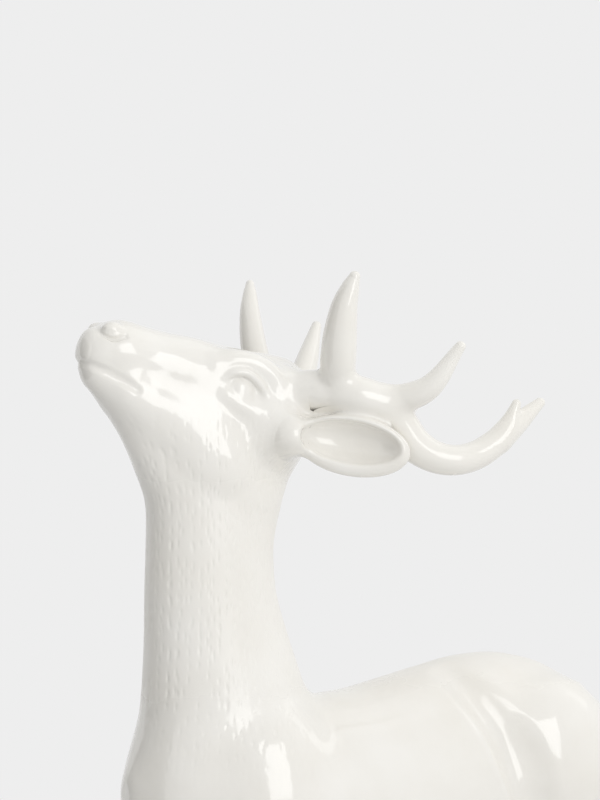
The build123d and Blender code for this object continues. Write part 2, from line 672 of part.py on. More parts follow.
def make_head_group():
    outside = head_outside()
    head = make_head(outside)
    save(head, "head_neck_shell")
    pedicle = along_peg(PEDICLE_RADIUS, -PEG_DOWN - 5, -JOINT_GAP)
    ear = make_ear(outside + pedicle)
    save(ear, "left_ear")
    save(mirrored(ear), "right_ear")
    socket, peg = make_socket(), make_peg()
    save(socket, "left_socket")
    save(peg, "left_peg")
    save(make_antler(0, peg), "left_antler")
    save(mirrored(socket), "right_socket")
    save(mirrored(peg), "right_peg")
    save(mirrored(make_antler(1, peg)), "right_antler")


def make_lamp_unit():
    save(make_port_frame(), "port_frame")
    save(make_inserts(), "threaded_inserts")
    save(make_gasket(), "port_gasket")
    save(make_housing(), "lamp_housing")
    save(Compound([base_screw(x, y) for x, y in corners(*SCREW_XY)]), "base_screws")
    save(make_door(), "battery_door")
    save(make_door_seal(), "door_seal")
    save(crossbar(HINGE_RADIUS, -HINGE_HALF, HINGE_HALF, HINGE_Y, HINGE_Z), "hinge_pin")
    ways = ((-CELL_PITCH, -1), (0, 1), (CELL_PITCH, -1))
    for number, (x, way) in enumerate(ways, 1):
        save(make_cell(x, way), f"battery_{number}")
    save(Compound([make_spring(x, way) for x, way in ways]), "spring_contacts")
    save(Compound([plate(x, way) for x, way in ways]), "plate_contacts")
    save(make_switch(), "switch_body")
    save(make_knob(), "switch_knob")


def make_light_source():
    save(make_diffuser(), "diffuser")
    seat = HOUSING_TOP_Z + PLATE_THICK
    screws = [small_screw(x, y, seat, 2.2, 1.1, 7.5) for x, y in corners(*POST_XY)]
    save(Compound(screws), "diffuser_screws")
    save(make_led_post(), "led_post")
    save(upright(LED_BOARD_RADIUS, LED_Z, LED_Z + BOARD_THICK), "led_board")
    chips = [led_chip(0, 0)] + [led_chip(i * pi / 3, 5.6) for i in range(6)]
    save(Compound(chips), "led_chips")
    save(make_driver_board(), "driver_board")
    top = BOARD_Z + BOARD_THICK
    screws = [small_screw(x, DRIVER_Y, top, 2.0, 1.0, 3.5) for x in (-DRIVER_SCREW_X, DRIVER_SCREW_X)]
    save(Compound(screws), "board_screws")
    save(block((-8, -2), (DRIVER_Y - 6, DRIVER_Y - 1), (top, top + 1.6)), "driver_chip")
    coil = upright(3.4, top, top + 3.6, 5, DRIVER_Y - 5) - upright(1.2, top + 3, top + 4, 5, DRIVER_Y - 5)
    save(coil, "driver_coil")
    save(make_lead(-2.4), "red_lead")
    save(make_lead(2.4), "black_lead")


make_ceramics()
make_head_group()
make_lamp_unit()
make_light_source()
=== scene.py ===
"""Looks for the light-up reindeer: a hollow, glazed white ceramic deer with a battery lamp unit.

The ceramic pieces are sculpted as signed distance fields, in millimetres, from the sections that
drive the CAD, softened a little at the nose and the antler's root, and cut apart on the CAD's own
seam planes. The lamp unit's CAD nodes stay, with procedural materials. The frame is the CAD's: the
deer faces -Y, +Z is up and +X is its left.
"""

import math

import bmesh
import bpy
import numpy as np
import openvdb
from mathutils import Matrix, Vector


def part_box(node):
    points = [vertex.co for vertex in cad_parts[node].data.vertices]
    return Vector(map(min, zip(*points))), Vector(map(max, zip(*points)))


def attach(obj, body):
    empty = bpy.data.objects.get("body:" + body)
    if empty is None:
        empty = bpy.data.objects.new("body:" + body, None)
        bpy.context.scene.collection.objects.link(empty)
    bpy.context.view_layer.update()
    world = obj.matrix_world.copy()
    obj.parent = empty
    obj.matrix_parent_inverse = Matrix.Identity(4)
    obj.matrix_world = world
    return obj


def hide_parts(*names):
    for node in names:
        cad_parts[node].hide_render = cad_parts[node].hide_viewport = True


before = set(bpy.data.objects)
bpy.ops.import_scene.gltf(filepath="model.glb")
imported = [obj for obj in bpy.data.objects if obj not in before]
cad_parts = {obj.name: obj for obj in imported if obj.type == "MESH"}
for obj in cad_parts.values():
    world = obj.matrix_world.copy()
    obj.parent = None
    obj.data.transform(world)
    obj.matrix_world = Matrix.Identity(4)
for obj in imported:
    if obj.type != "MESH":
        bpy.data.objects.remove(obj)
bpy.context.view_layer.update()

MM = 0.001
FINE = 0.9              # sampling step for the head, ears and antlers, in millimetres
MEDIUM = 1.1            # for the legs and the tail's tip
COARSE = 1.7            # for the torso
FAR = 60.0              # distance that stands for anywhere well away from a shape
STROKE_HEIGHT = 0.22    # of the tooled hair, in millimetres
BACKDROP = 0.855        # brightness of the backdrop and of the far floor
FLOOR_RADIUS = 9.0      # metres, as are the studio's other sizes
FLAG_SIZE, FLAG_PLACE = 1.3, (-0.25, -1.0, 0.55)
LIGHT_TARGET = (0, -0.06, 0.42)
CAMERA_AIM, CAMERA_DISTANCE = (0, -0.062, 0.5377), 1.8
CAMERA_AZIMUTH = math.radians(60)       # from straight ahead of the deer towards its left
CAMERA_LENS = 131.2

# ---------------------------------------------------------------- sections shared with the CAD
# Torso: y, top z, bottom z, half width.
TORSO = [
    (-182, 313, 288, 8), (-178, 322, 276, 16), (-168, 340, 246, 30), (-145, 352, 220, 44),
    (-110, 356, 207, 54), (-70, 354, 204, 59), (-25, 358, 206, 62), (15, 367, 212, 61),
    (50, 375, 221, 56), (80, 377, 230, 53), (110, 371, 239, 52), (140, 355, 248, 46),
    (165, 334, 262, 34), (180, 316, 282, 18), (184, 308, 290, 9),
]
# Neck: z, front y, back y, half width.
NECK = [
    (300, -170, -46, 44), (335, -171, -56, 43), (362, -168, -63, 39), (390, -167, -73, 34),
    (420, -167, -83, 31), (450, -166, -85, 30), (478, -166, -77.5, 29.5), (494, -174, -71, 29),
    (508, -180, -66, 27.5), (530, -193, -63, 24), (545, -204, -63, 19), (562, -208, -72, 13),
]
# Head: y and z of the centre, half height, half width, on planes tilted by the head's pitch.
HEAD = [
    (-210, 565, 6, 7), (-204, 568.5, 15.5, 14), (-190, 567, 19.5, 18), (-170, 562, 19, 18),
    (-150, 557, 20, 21), (-130, 551, 22, 27), (-110, 546, 23, 31), (-90, 541, 24, 32),
    (-72, 536, 23, 29), (-58, 532, 18, 22), (-50, 530, 10, 12),
]
HEAD_PITCH = math.radians(12)
CHEEK = np.array((26.6, -139.0, 531.0))         # middle of the cheek's flat side
# Legs: z, x, y, half depth, half width.
FRONT_LEG = [
    (330, 24, -96, 24, 15), (300, 33, -98, 33, 21), (245, 37, -103, 27, 19),
    (190, 38, -108, 18, 14.5), (150, 38, -112, 14, 12), (114, 38, -114, 13.5, 12.5),
    (96, 38, -113, 11.5, 10.5), (60, 38, -111, 9, 8.5), (38, 38, -111, 11, 10),
    (25, 38, -115, 10, 9.5), (12, 38, -119, 15, 12), (3, 38, -121, 18, 13.5),
]
REAR_LEG = [
    (352, 20, 104, 26, 13), (335, 28, 107, 38, 20), (300, 37, 111, 46, 23),
    (250, 38, 111, 39, 21), (206, 39, 111, 26, 16), (178, 39, 119, 20, 13.5),
    (150, 39, 133, 15, 11.5), (126, 39, 146, 14.5, 11.5), (104, 39, 149, 11.5, 10),
    (66, 39, 145, 9.5, 8.5), (38, 39, 142, 11.5, 10), (24, 39, 138, 10.5, 9.5),
    (12, 39, 134, 15, 12), (3, 39, 132, 18, 13.5),
]
HOOVES = ((38, -121), (39, 132))        # x and y of a front and a rear hoof
NECK_SEAM_Z, FRONT_SEAM_Z, REAR_SEAM_Z = 362.0, 190.0, 206.0
PAD_TOP_Z = 3.0
UNIT_Y = -15.0
RIM_HALF, POCKET_HALF, HOLE_HALF = (44, 60), (39, 55), (28, 44)
RIM_LOW_Z, SEAT_Z = 211.5, 222.0

# Limbs: points with a radius each.
TAIL = [((0, 162, 325), 11), ((0, 184, 331), 11.5), ((0, 199, 321), 9.5), ((0, 207.9, 302), 5)]
BEAM = [
    ((32, -72, 543.8), 11.2), ((36, -67.32, 543.2), 12.2), ((41, -61.5, 542.5), 12.5),
    ((50, -51.7, 540.3), 12.5), ((54, -37, 535), 12), ((55.5, -25.5, 524.5), 11.4),
    ((57.8, -16.2, 511.8), 11), ((61.4, -4.2, 503.7), 10), ((65, 8.9, 501.1), 9.4),
    ((66.5, 23.6, 503.8), 9), ((68, 37.6, 511.7), 8.4), ((70, 51.6, 522.9), 6.9), ((71.5, 68, 536), 3.3),
]
BROW_TINE = [
    ((46, -60, 546), 8), ((48.5, -63.5, 557), 10.6), ((52, -65, 568), 10.8), ((55, -65.5, 580), 10),
    ((58.5, -65, 594), 8.1), ((62, -63, 605), 5.7), ((64.5, -61.5, 611.5), 3.5),
]
BROW_SCALES = {"left": 1.0, "right": 0.78}
END_TINE = [((68.5, 40, 513), 6.5), ((71, 46, 525), 5), ((73, 49.5, 535.5), 2.8)]
BEZ_START = (55, -34, 536)
BEZ_TIPS = {"left": (86, 0, 570), "right": (86, 0, 586)}
BEZ_BOWS = {"left": (3, 2, -8), "right": (3, 2, 0)}
BEZ_RADII = (9.5, 7.6, 3.3)
PEG_BASE = np.array((32.0, -72.0, 543.8))
PEG_AXIS = np.array((0.65, 0.76, 0.0)) / np.linalg.norm((0.65, 0.76, 0.0))
PEDICLE_RADIUS, SOCKET_RADIUS, PEG_DOWN = 11.5, 5.8, 20.0
JOINT_REACH = 24.0      # within this of the joint, an antler keeps only what lies on its own limbs
EAR_ROOT, EAR_BASE, EAR_LENGTH = np.array((14, -99, 522.5)), np.array((38.8, -86.3, 515.7)), 68.0
EAR_AXIS, EAR_FACE = (0.488, 0.845, -0.170), (0.85, -0.50, -0.10)


# ---------------------------------------------------------------- smooth curves through tables
def unit(v):
    """A vector's direction, with length one."""
    v = np.array(v, float)
    return v / np.linalg.norm(v)


def dense(keys, columns, spread=5.0):
    """Closely spaced keys and column values along a table, with its corners softened over spread."""
    keys = np.array(keys, float)
    columns = [np.array(c, float) for c in columns]
    if keys[0] > keys[-1]:
        keys, columns = keys[::-1], [c[::-1] for c in columns]
    count = 600
    fine = np.linspace(keys[0], keys[-1], count)
    width = spread / (fine[1] - fine[0])
    reach = int(3 * width) + 1
    kernel = np.exp(-0.5 * (np.arange(-reach, reach + 1) / width) ** 2)
    kernel /= kernel.sum()
    out = []
    for values in columns:
        line = np.interp(fine, keys, values)
        before, after = 2 * line[0] - line[reach:0:-1], 2 * line[-1] - line[-2:-reach - 2:-1]
        padded = np.concatenate([before, line, after])
        out.append(np.convolve(padded, kernel, "valid"))
    return fine, out


def spline(points, count=8):
    """Catmull-Rom samples through rows of numbers."""
    rows = np.array(points, float)
    rows = np.vstack([2 * rows[0] - rows[1], rows, 2 * rows[-1] - rows[-2]])
    out = []
    for i in range(1, len(rows) - 2):
        a, b, c, d = rows[i - 1:i + 3]
        for t in np.linspace(0, 1, count, endpoint=False):
            out.append(0.5 * (2 * b + (c - a) * t + (2 * a - 5 * b + 4 * c - d) * t ** 2
                              + (3 * b - a - 3 * c + d) * t ** 3))
    out.append(rows[-2])
    return np.array(out)


# ---------------------------------------------------------------- distance fields, in millimetres
def profile(key_way, a_way, b_way, keys, ca, cb, ra, rb, spread=5.0):
    """A body with elliptical sections square to key_way; a_way and b_way are the section's axes."""
    fine, (ca, cb, ra, rb) = dense(keys, (ca, cb, ra, rb), spread)

    def along(way, x, y, z):
        return sum(w * c for w, c in zip(way, (x, y, z)) if abs(w) > 1e-9)

    def field(x, y, z):
        key = along(key_way, x, y, z)
        wide, tall = np.interp(key, fine, ra), np.interp(key, fine, rb)
        u = (along(a_way, x, y, z) - np.interp(key, fine, ca)) / wide
        v = (along(b_way, x, y, z) - np.interp(key, fine, cb)) / tall
        g = np.sqrt(u * u + v * v + 1e-6)
        side = (g - 1) * g / np.sqrt((u / wide) ** 2 + (v / tall) ** 2 + 1e-9)
        ends = np.maximum(fine[0] - key, key - fine[-1])
        return -smooth_min(-side, -ends + 0 * side, 4.0)
    return field


def ball(centre, radii, axes=((1, 0, 0), (0, 1, 0), (0, 0, 1))):
    """An ellipsoid, with the box it lies in."""
    cx, cy, cz = centre

    def field(x, y, z):
        p = (x - cx, y - cy, z - cz)
        k0, k1 = 1e-9, 1e-12
        for axis, r in zip(axes, radii):
            s = sum(w * c for w, c in zip(axis, p) if abs(w) > 1e-9) / r
            k0 = k0 + s * s
            k1 = k1 + (s / r) ** 2
        k0 = np.sqrt(k0)
        return k0 * (k0 - 1) / np.sqrt(k1)
    return field, np.array(centre) - max(radii), np.array(centre) + max(radii)


def limb(points, count=4):
    """A round limb through (point, radius) pairs, with the box it lies in."""
    rows = spline([(*p, r) for p, r in points], count)
    fine = spline([(*p, r) for p, r in points], 8 * count)
    places = np.arange(len(fine)) / 8
    slopes = np.gradient(fine[:, :3], places, axis=0)

    def line(table, place):
        return (np.interp(place, places, column) for column in table.T)

    def field(x, y, z):
        best, nearest = np.inf, 0.0
        for i, (a, b) in enumerate(zip(rows, rows[1:])):
            step = b[:3] - a[:3]
            px, py, pz = x - a[0], y - a[1], z - a[2]
            t = np.clip((px * step[0] + py * step[1] + pz * step[2]) / (step @ step), 0, 1)
            far = np.sqrt((px - t * step[0]) ** 2 + (py - t * step[1]) ** 2 + (pz - t * step[2]) ** 2)
            d = far - (a[3] + (b[3] - a[3]) * t)
            nearest = np.where(d < best, i + t, nearest)
            best = np.minimum(d, best)
        for _ in range(2):
            cx, cy, cz, radius = line(fine, nearest)
            sx, sy, sz = line(slopes, nearest)
            ahead = (x - cx) * sx + (y - cy) * sy + (z - cz) * sz
            nearest = np.clip(nearest + ahead / (sx * sx + sy * sy + sz * sz), 0, places[-1])
        cx, cy, cz, radius = line(fine, nearest)
        return np.sqrt((x - cx) ** 2 + (y - cy) ** 2 + (z - cz) ** 2 + 1e-9) - radius
    reach = rows[:, 3].max()
    return field, rows[:, :3].min(0) - reach, rows[:, :3].max(0) + reach


def pad(half, low_z, high_z, corner):
    """An upright block with rounded corners, centred on the lamp unit."""
    def field(x, y, z):
        qx, qy = np.abs(x) - half[0] + corner, np.abs(y - UNIT_Y) - half[1] + corner
        inside = np.minimum(np.maximum(qx, qy), 0)
        flat = np.hypot(np.maximum(qx, 0), np.maximum(qy, 0)) + inside - corner
        return np.maximum(flat, np.maximum(low_z - z, z - high_z))
    low = np.array((-half[0], UNIT_Y - half[1], low_z))
    high = np.array((half[0], UNIT_Y + half[1], high_z))
    return field, low, high


def half_space(point, normal):
    """Everything on the side that normal points away from."""
    n = unit(normal)
    return lambda x, y, z: (x - point[0]) * n[0] + (y - point[1]) * n[1] + (z - point[2]) * n[2]


def smooth_min(a, b, k):
    """The smaller of two fields, rounded over a width k where they meet."""
    if k <= 0:
        return np.minimum(a, b)
    h = np.clip(0.5 + 0.5 * (b - a) / k, 0, 1)
    return b + (a - b) * h - k * h * (1 - h)


def tetra(function, p, h=0.2):
    """The gradient of a function at each row of p."""
    out = np.zeros_like(p)
    for way in ((1, -1, -1), (-1, -1, 1), (-1, 1, -1), (1, 1, 1)):
        way = np.array(way, float)
        out += way * function(p + way * h)[:, None]
    return out / (4 * h)


class Sculpture:
    """Smooth shapes added to and cut from each other in turn, the same left and right."""

    def __init__(self, relief=None):
        self.steps = []
        self.relief = relief

    def add(self, shape, blend=0.0, sign=1):
        field, low, high = shape if isinstance(shape, tuple) else (shape, [-1e4] * 3, [1e4] * 3)
        room = blend + 6
        self.steps.append((sign, field, blend, np.array(low) - room, np.array(high) + room))

    def cut(self, shape, blend=0.0):
        self.add(shape, blend, -1)

    @staticmethod
    def combine(d, v, blend, sign):
        return smooth_min(d, v, blend) if sign > 0 else -smooth_min(-d, v, blend)

    def at(self, p):
        """The distance at each row of p."""
        q = np.column_stack([np.abs(p[:, 0]), p[:, 1], p[:, 2]])
        d = np.full(len(q), FAR)
        for sign, field, blend, low, high in self.steps:
            near = np.all((q >= low) & (q <= high), axis=1)
            if near.any():
                d[near] = self.combine(d[near], field(q[near, 0], q[near, 1], q[near, 2]), blend, sign)
        return d if self.relief is None else d + self.relief(p)

    def grid(self, axes):
        """The distance on a grid, without the relief."""
        d = np.full([len(a) for a in axes], FAR, np.float32)
        for sign, field, blend, low, high in self.steps:
            part = tuple(slice(*np.searchsorted(a, (low[i], high[i]))) for i, a in enumerate(axes))
            if min(s.stop - s.start for s in part) > 0:
                x, y, z = (a[s] for a, s in zip(axes, part))
                value = field(x[:, None, None], y[None, :, None], z[None, None, :])
                d[part] = self.combine(d[part], value, blend, sign)
        return d


class Clip:
    """The crisp limits of a piece: inside every kept region and outside every removed one."""

    def __init__(self, keep=(), remove=()):
        self.keep, self.remove = keep, remove

    def value(self, x, y, z):
        d = -FAR + 0 * (x + y + z)
        for region in self.keep:
            d = np.maximum(d, region(x, y, z))
        for region in self.remove:
            d = np.maximum(d, -region(x, y, z))
        return d

    def at(self, p):
        return self.value(np.abs(p[:, 0]), p[:, 1], p[:, 2])

    def grid(self, axes):
        x, y, z = axes
        return self.value(x[:, None, None], y[None, :, None], z[None, None, :])


def surface(shape, clip, low, high, step):
    """Vertices, quads and corner normals of a clipped shape inside a box."""
    axes = [np.arange(a, b + step, step) for a, b in zip(low, high)]
    twin = low[0] < 0
    if twin:
        axes[0] = np.arange(0, high[0] + step, step)
    d, c = shape.grid(axes), clip.grid(axes).astype(np.float32)
    start = np.array([a[0] for a in axes], float)
    if twin:
        d, c = np.concatenate([d[:0:-1], d]), np.concatenate([c[:0:-1], c])
        start[0] = -axes[0][-1]
    grid = openvdb.FloatGrid(background=FAR)
    grid.copyFromArray(np.ascontiguousarray(np.maximum(d, c)))
    points, quads = grid.convertToQuads(isovalue=0.0)
    quads = quads.astype(np.int64)
    crease = crosses(d, points) & crosses(c, points)
    points = start + points.astype(float) * step
    for _ in range(4):
        points = onto(shape, clip, points, crease, step)
    return points, quads, corner_normals(shape, clip, points, quads)


def crosses(values, points):
    """Whether a field changes sign in the cell each point lies in."""
    cell = np.clip(np.floor(points).astype(int), 0, np.array(values.shape) - 2)
    corners = np.stack([values[cell[:, 0] + i, cell[:, 1] + j, cell[:, 2] + k]
                        for i in (0, 1) for j in (0, 1) for k in (0, 1)])
    return (corners.min(0) < 0) & (corners.max(0) > 0)


def onto(shape, clip, points, crease, step):
    """Moves points on to the shape, the clip, or both where a crease runs."""
    f, c = shape.at(points), clip.at(points)
    gf, gc = tetra(shape.at, points), tetra(clip.at, points)
    ff, cc = np.maximum((gf * gf).sum(1), 0.05), np.maximum((gc * gc).sum(1), 0.05)
    fc = (gf * gc).sum(1)
    det = ff * cc - fc * fc
    both = crease & (det > 0.08 * ff * cc)
    safe = np.where(both, det, 1.0)
    u = np.where(both, (f * cc - c * fc) / safe, np.where(f >= c, f / ff, 0))
    w = np.where(both, (c * ff - f * fc) / safe, np.where(f >= c, 0, c / cc))
    move = u[:, None] * gf + w[:, None] * gc
    return points - np.clip(move, -0.7 * step, 0.7 * step)


def corner_normals(shape, clip, points, quads):
    """A normal for every corner of every quad, from whichever surface the quad lies on."""
    centre = points[quads].mean(1)
    on_clip = np.abs(clip.at(centre)) < np.abs(shape.at(centre))
    gf, gc = tetra(shape.at, points), tetra(clip.at, points)
    gf /= np.linalg.norm(gf, axis=1, keepdims=True) + 1e-9
    gc /= np.linalg.norm(gc, axis=1, keepdims=True) + 1e-9
    normals = np.where(on_clip[:, None, None], gc[quads], gf[quads])
    return normals.reshape(-1, 3)


# ---------------------------------------------------------------- the deer's shape
def torso_profile():
    y, top, low, half = np.array(TORSO, float).T
    return profile((0, 1, 0), (1, 0, 0), (0, 0, 1), y, 0 * y, (top + low) / 2, half, (top - low) / 2, 7.0)


def neck_profile():
    z, front, back, half = np.array(NECK, float).T
    middle, deep = (front + back) / 2, (back - front) / 2
    return profile((0, 0, 1), (1, 0, 0), (0, 1, 0), z, 0 * z, middle, half, deep, 7.0)


def head_profile():
    y, z, tall, half = np.array(HEAD, float).T
    key_way = (0, math.cos(HEAD_PITCH), -math.sin(HEAD_PITCH))
    up_way = (0, math.sin(HEAD_PITCH), math.cos(HEAD_PITCH))
    keys = y * key_way[1] + z * key_way[2]
    ups = y * up_way[1] + z * up_way[2]
    return profile(key_way, (1, 0, 0), up_way, keys, 0 * y, ups, half, tall, 4.0)


def leg_profile(table):
    """A leg's field and the box it lies in."""
    z, x, y, deep, half = np.array(table, float).T
    shape = profile((0, 0, 1), (1, 0, 0), (0, 1, 0), z, x, y, half, deep, 4.0)
    low = np.array((x.min() - half.max(), y.min() - deep.max(), z.min()))
    high = np.array((x.max() + half.max(), y.max() + deep.max(), z.max()))
    return shape, low, high


def add_face(s):
    """Jaw, cheek, muzzle and chin, brow, eye and lids, nostril and mouth, in that order."""
    s.add(limb([((7, -184, 542), 9), ((10, -157, 525), 12), ((14, -130, 504), 13),
                ((13, -106, 482), 12)]), 14)
    flat = unit((0.966, -0.204, 0.161))
    down = unit(np.cross(flat, np.cross((0, 0.34, -0.94), flat)))
    s.add(ball(CHEEK - 11 * flat, (11, 42, 25), (flat, down, np.cross(flat, down))), 12)
    s.add(ball((0, -203, 567), (12, 10, 14)), 5)
    s.add(limb([((0, -200, 553), 10.5), ((0, -185, 543), 12)]), 6)
    s.add(limb([((20, -131, 560), 4.5), ((24, -120, 562), 5.5), ((26.5, -107, 559), 6), ((28, -97, 552), 5.5),
                ((28, -94, 542), 4)]), 8)
    eye_line = unit((0.09, 0.885, -0.457))
    out = unit(np.cross(np.cross(eye_line, (0.9, -0.4, 0.1)), eye_line))
    axes = (out, eye_line, np.cross(eye_line, out))
    s.cut(ball((35, -117, 545.5), (6, 13, 8.5), axes), 6)
    s.add(ball((22, -117.5, 545), (10, 10.5, 8), axes), 1.5)
    s.add(limb([((26.5, -129.5, 550.5), 1.2), ((29.5, -124, 554), 2.0), ((31, -116, 553.5), 2.3),
                ((31.5, -108, 547.5), 2.2), ((31, -102, 539), 1.4)]), 3)
    s.add(limb([((26.5, -127, 540.5), 1.5), ((28.5, -119.5, 535), 3.2), ((29, -112, 531.5), 3.6),
                ((29, -104, 531), 2.4)]), 9)
    s.cut(limb([((10, -203, 577), 0.9), ((13.5, -197, 573.5), 1.3), ((15.5, -190, 575), 0.9)]), 2.5)
    s.add(ball((9.5, -196, 580), (4.5, 6, 4)), 4)
    s.cut(limb([((0, -215.5, 560.5), 1.4), ((9, -211.5, 558.5), 1.6), ((14, -202, 554.5), 2.0),
                ((17.5, -191, 548.5), 2.4), ((19.5, -184, 544), 2.0)]), 3)


def add_body_muscles(s):
    """Shoulder, haunch and the valley between the barrel and the haunch."""
    s.add(ball((30, -98, 296), (29, 40, 54)), 14)
    s.add(ball((31, 105, 309), (30, 44, 52)), 10)
    s.cut(limb([((24, 32, 374), 9), ((42, 41, 360), 12), ((54, 53, 340), 14), ((60.5, 66, 313), 15),
                ((59, 77, 284), 12), ((60, 81, 262), 8)]), 9)


def ear_leaf():
    """The outside and the hollow of a leaf-shaped ear cup, and the space that belongs to it."""
    axis = unit(EAR_AXIS)
    face = np.array(EAR_FACE)
    face = unit(face - axis * (face @ axis))
    up = np.cross(face, axis)
    middle = EAR_BASE + axis * (EAR_LENGTH / 2)
    body = ball(middle - 2 * face, (35, 18.5, 12), (axis, up, face))
    cup = ball(middle + 6 * face + 2.5 * up - 1.5 * axis, (31, 13.4, 15.5), (axis, up, face))
    front = half_space(middle + 3.5 * face, face)

    def leaf(x, y, z):
        return -smooth_min(-body[0](x, y, z), -front(x, y, z), 3)
    root = half_space(middle - 27 * axis, axis)

    def region(x, y, z):
        return np.maximum(-root(x, y, z), body[0](x, y, z) - 5)
    return (leaf, body[1], body[2]), cup, region


def add_ears(s):
    """The skull behind the cheek, an ear on its root, and the shelf under the antler."""
    leaf, cup, _ = ear_leaf()
    s.add(ball((10, -92, 517), (26, 26, 25)), 10)
    s.add(limb([(EAR_ROOT, 19), ((EAR_ROOT + EAR_BASE) / 2, 16), (EAR_BASE - 4 * unit(EAR_AXIS), 12)]), 12)
    s.add(limb([((28, -74, 524), 9), ((36, -62, 523), 8.5), ((44, -52, 519), 7)]), 6)
    s.add(leaf, 6)
    s.cut(cup, 2.5)


def bez_tine(side):
    """The tine in the middle of the beam."""
    tip, start = np.array(BEZ_TIPS[side], float), np.array(BEZ_START, float)
    middle = (tip + start) / 2 + np.array(BEZ_BOWS[side])
    return limb(list(zip((start, middle, tip), BEZ_RADII)))


def antler_parts(side):
    """The limbs of one antler, each with how softly it joins the one before."""
    brow = [(point, radius * BROW_SCALES[side]) for point, radius in BROW_TINE]
    return [(limb(BEAM), 5), (limb(brow), 6), (bez_tine(side), 6), (limb(END_TINE), 4)]


def antler_region(side, collar=2.5):
    """The space that belongs to the antler: beyond the joint, and near its own limbs."""
    beam, brow = (part[0] for part, _ in antler_parts(side)[:2])
    joint = half_space(PEG_BASE, PEG_AXIS)

    def region(x, y, z):
        return np.maximum(-joint(x, y, z), np.minimum(beam(x, y, z), brow(x, y, z)) - collar)
    return region


def add_pedicle(s):
    """The stump on the skull that an antler sits on."""
    inner, outer = PEG_BASE - 25 * PEG_AXIS, PEG_BASE + 3 * PEG_AXIS
    s.add(limb([(inner, PEDICLE_RADIUS), (outer, PEDICLE_RADIUS - 0.5)]), 8)


def deer_shape():
    """The whole deer but for most of its antlers, whose roots are here so that they join softly."""
    s = Sculpture(hair_relief)
    s.add(torso_profile())
    s.add(neck_profile(), 16)
    add_body_muscles(s)
    s.add(leg_profile(FRONT_LEG), 12)
    s.add(leg_profile(REAR_LEG), 12)
    s.add(limb(TAIL), 7)
    s.add(head_profile(), 9)
    add_face(s)
    add_ears(s)
    add_pedicle(s)
    reach = np.array((26, 26, 22))
    for part, blend in antler_parts("left")[:2]:
        s.add((part[0], PEG_BASE - reach, PEG_BASE + reach), blend)
    s.add(pad(RIM_HALF, RIM_LOW_Z, 245, 12), 9)
    for x, y in HOOVES:
        s.cut(limb([((x, y - 21, 1), 1.0), ((x, y - 17, 12), 1.0), ((x, y - 11.5, 24), 0.7)]), 1.5)
    return s


def antler_shape(side):
    """One antler, with the skull it flows out of."""
    s = Sculpture()
    s.add(head_profile())
    add_pedicle(s)
    for part, blend in antler_parts(side):
        s.add(part, blend)
    return s


def hair_relief(p):
    """Short tool strokes for hair down the neck and along the jaw, in millimetres above the surface."""
    x, y, z = np.abs(p[:, 0]), p[:, 1], p[:, 2]
    amount = np.clip((z - 300) / 60, 0, 1) * np.clip((535 - z) / 30, 0, 1) * np.clip((-70 - y) / 15, 0, 1)
    out = np.zeros(len(p))
    some = amount > 0
    across = np.arctan2(x[some], -(y[some] + 120)) * 38
    along = z[some]
    total = np.zeros(len(across))
    for layer, (wide, tall) in enumerate(((4.0, 11.0), (5.5, 8.0))):
        u = across / wide
        column = np.floor(u)
        v = along / tall + 0.37 * layer + np.modf(np.abs(np.sin(column * 12.9898 + layer)) * 43758.5453)[0]
        row = np.floor(v)
        luck = np.modf(np.abs(np.sin(column * 78.233 + row * 37.719 + layer)) * 24634.6345)[0]
        shift = 0.3 * (luck - 0.5)
        du = (u - column - 0.5 - shift) * wide
        dv = (v - row - 0.5) * tall
        total += (luck > 0.35) * np.exp(-(du / 0.75) ** 2 - (dv / (0.27 * tall)) ** 2)
    out[some] = STROKE_HEIGHT * total * amount[some]
    return out


def peg_cylinder(radius, low, high):
    """A cylinder on the peg's axis between two distances from the joint."""
    def field(x, y, z):
        p = (x - PEG_BASE[0], y - PEG_BASE[1], z - PEG_BASE[2])
        along = sum(a * q for a, q in zip(PEG_AXIS, p))
        far = np.sqrt(np.maximum(p[0] ** 2 + p[1] ** 2 + p[2] ** 2 - along ** 2, 0))
        return np.maximum(far - radius, np.maximum(low - along, along - high))
    return field


# ---------------------------------------------------------------- pieces
def make_piece(name, data, body, nodes, flip=False):
    """A mesh object from surface data; flip mirrors it to the deer's other side."""
    points, quads, normals = data
    if flip:
        mirror = np.array((-1, 1, 1))
        points, quads = points * mirror, quads[:, ::-1]
        normals = (normals.reshape(-1, 4, 3)[:, ::-1] * mirror).reshape(-1, 3)
    mesh = bpy.data.meshes.new(name)
    mesh.from_pydata((points * MM).tolist(), [], quads.tolist())
    mesh.update()
    mesh.shade_smooth()
    mesh.normals_split_custom_set(normals.tolist())
    piece = bpy.data.objects.new(name, mesh)
    bpy.context.scene.collection.objects.link(piece)
    piece.data.materials.append(GLAZE)
    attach(piece, body)
    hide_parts(*nodes)
    return piece


def above_z(level):
    """The region above a level; whoever keeps it loses what is below."""
    return lambda x, y, z: level - z + 0 * (x + y)


def below_z(level):
    """The region below a level."""
    return lambda x, y, z: z - level + 0 * (x + y)


def make_head():
    ear_region = ear_leaf()[2]
    clip = Clip(keep=[above_z(NECK_SEAM_Z)],
                remove=[ear_region, antler_region("left"), peg_cylinder(SOCKET_RADIUS, -PEG_DOWN - 1, 30)])
    data = surface(deer_shape(), clip, (-46, -218, 359), (46, -28, 592), FINE)
    make_piece("head_and_neck", data, "deer", ["head_neck_shell"])
    data = surface(deer_shape(), Clip(keep=[ear_region]), (28, -100, 480), (90, -8, 545), FINE)
    make_piece("ear_left", data, "deer", ["left_ear"])
    make_piece("ear_right", data, "deer", ["right_ear"], flip=True)


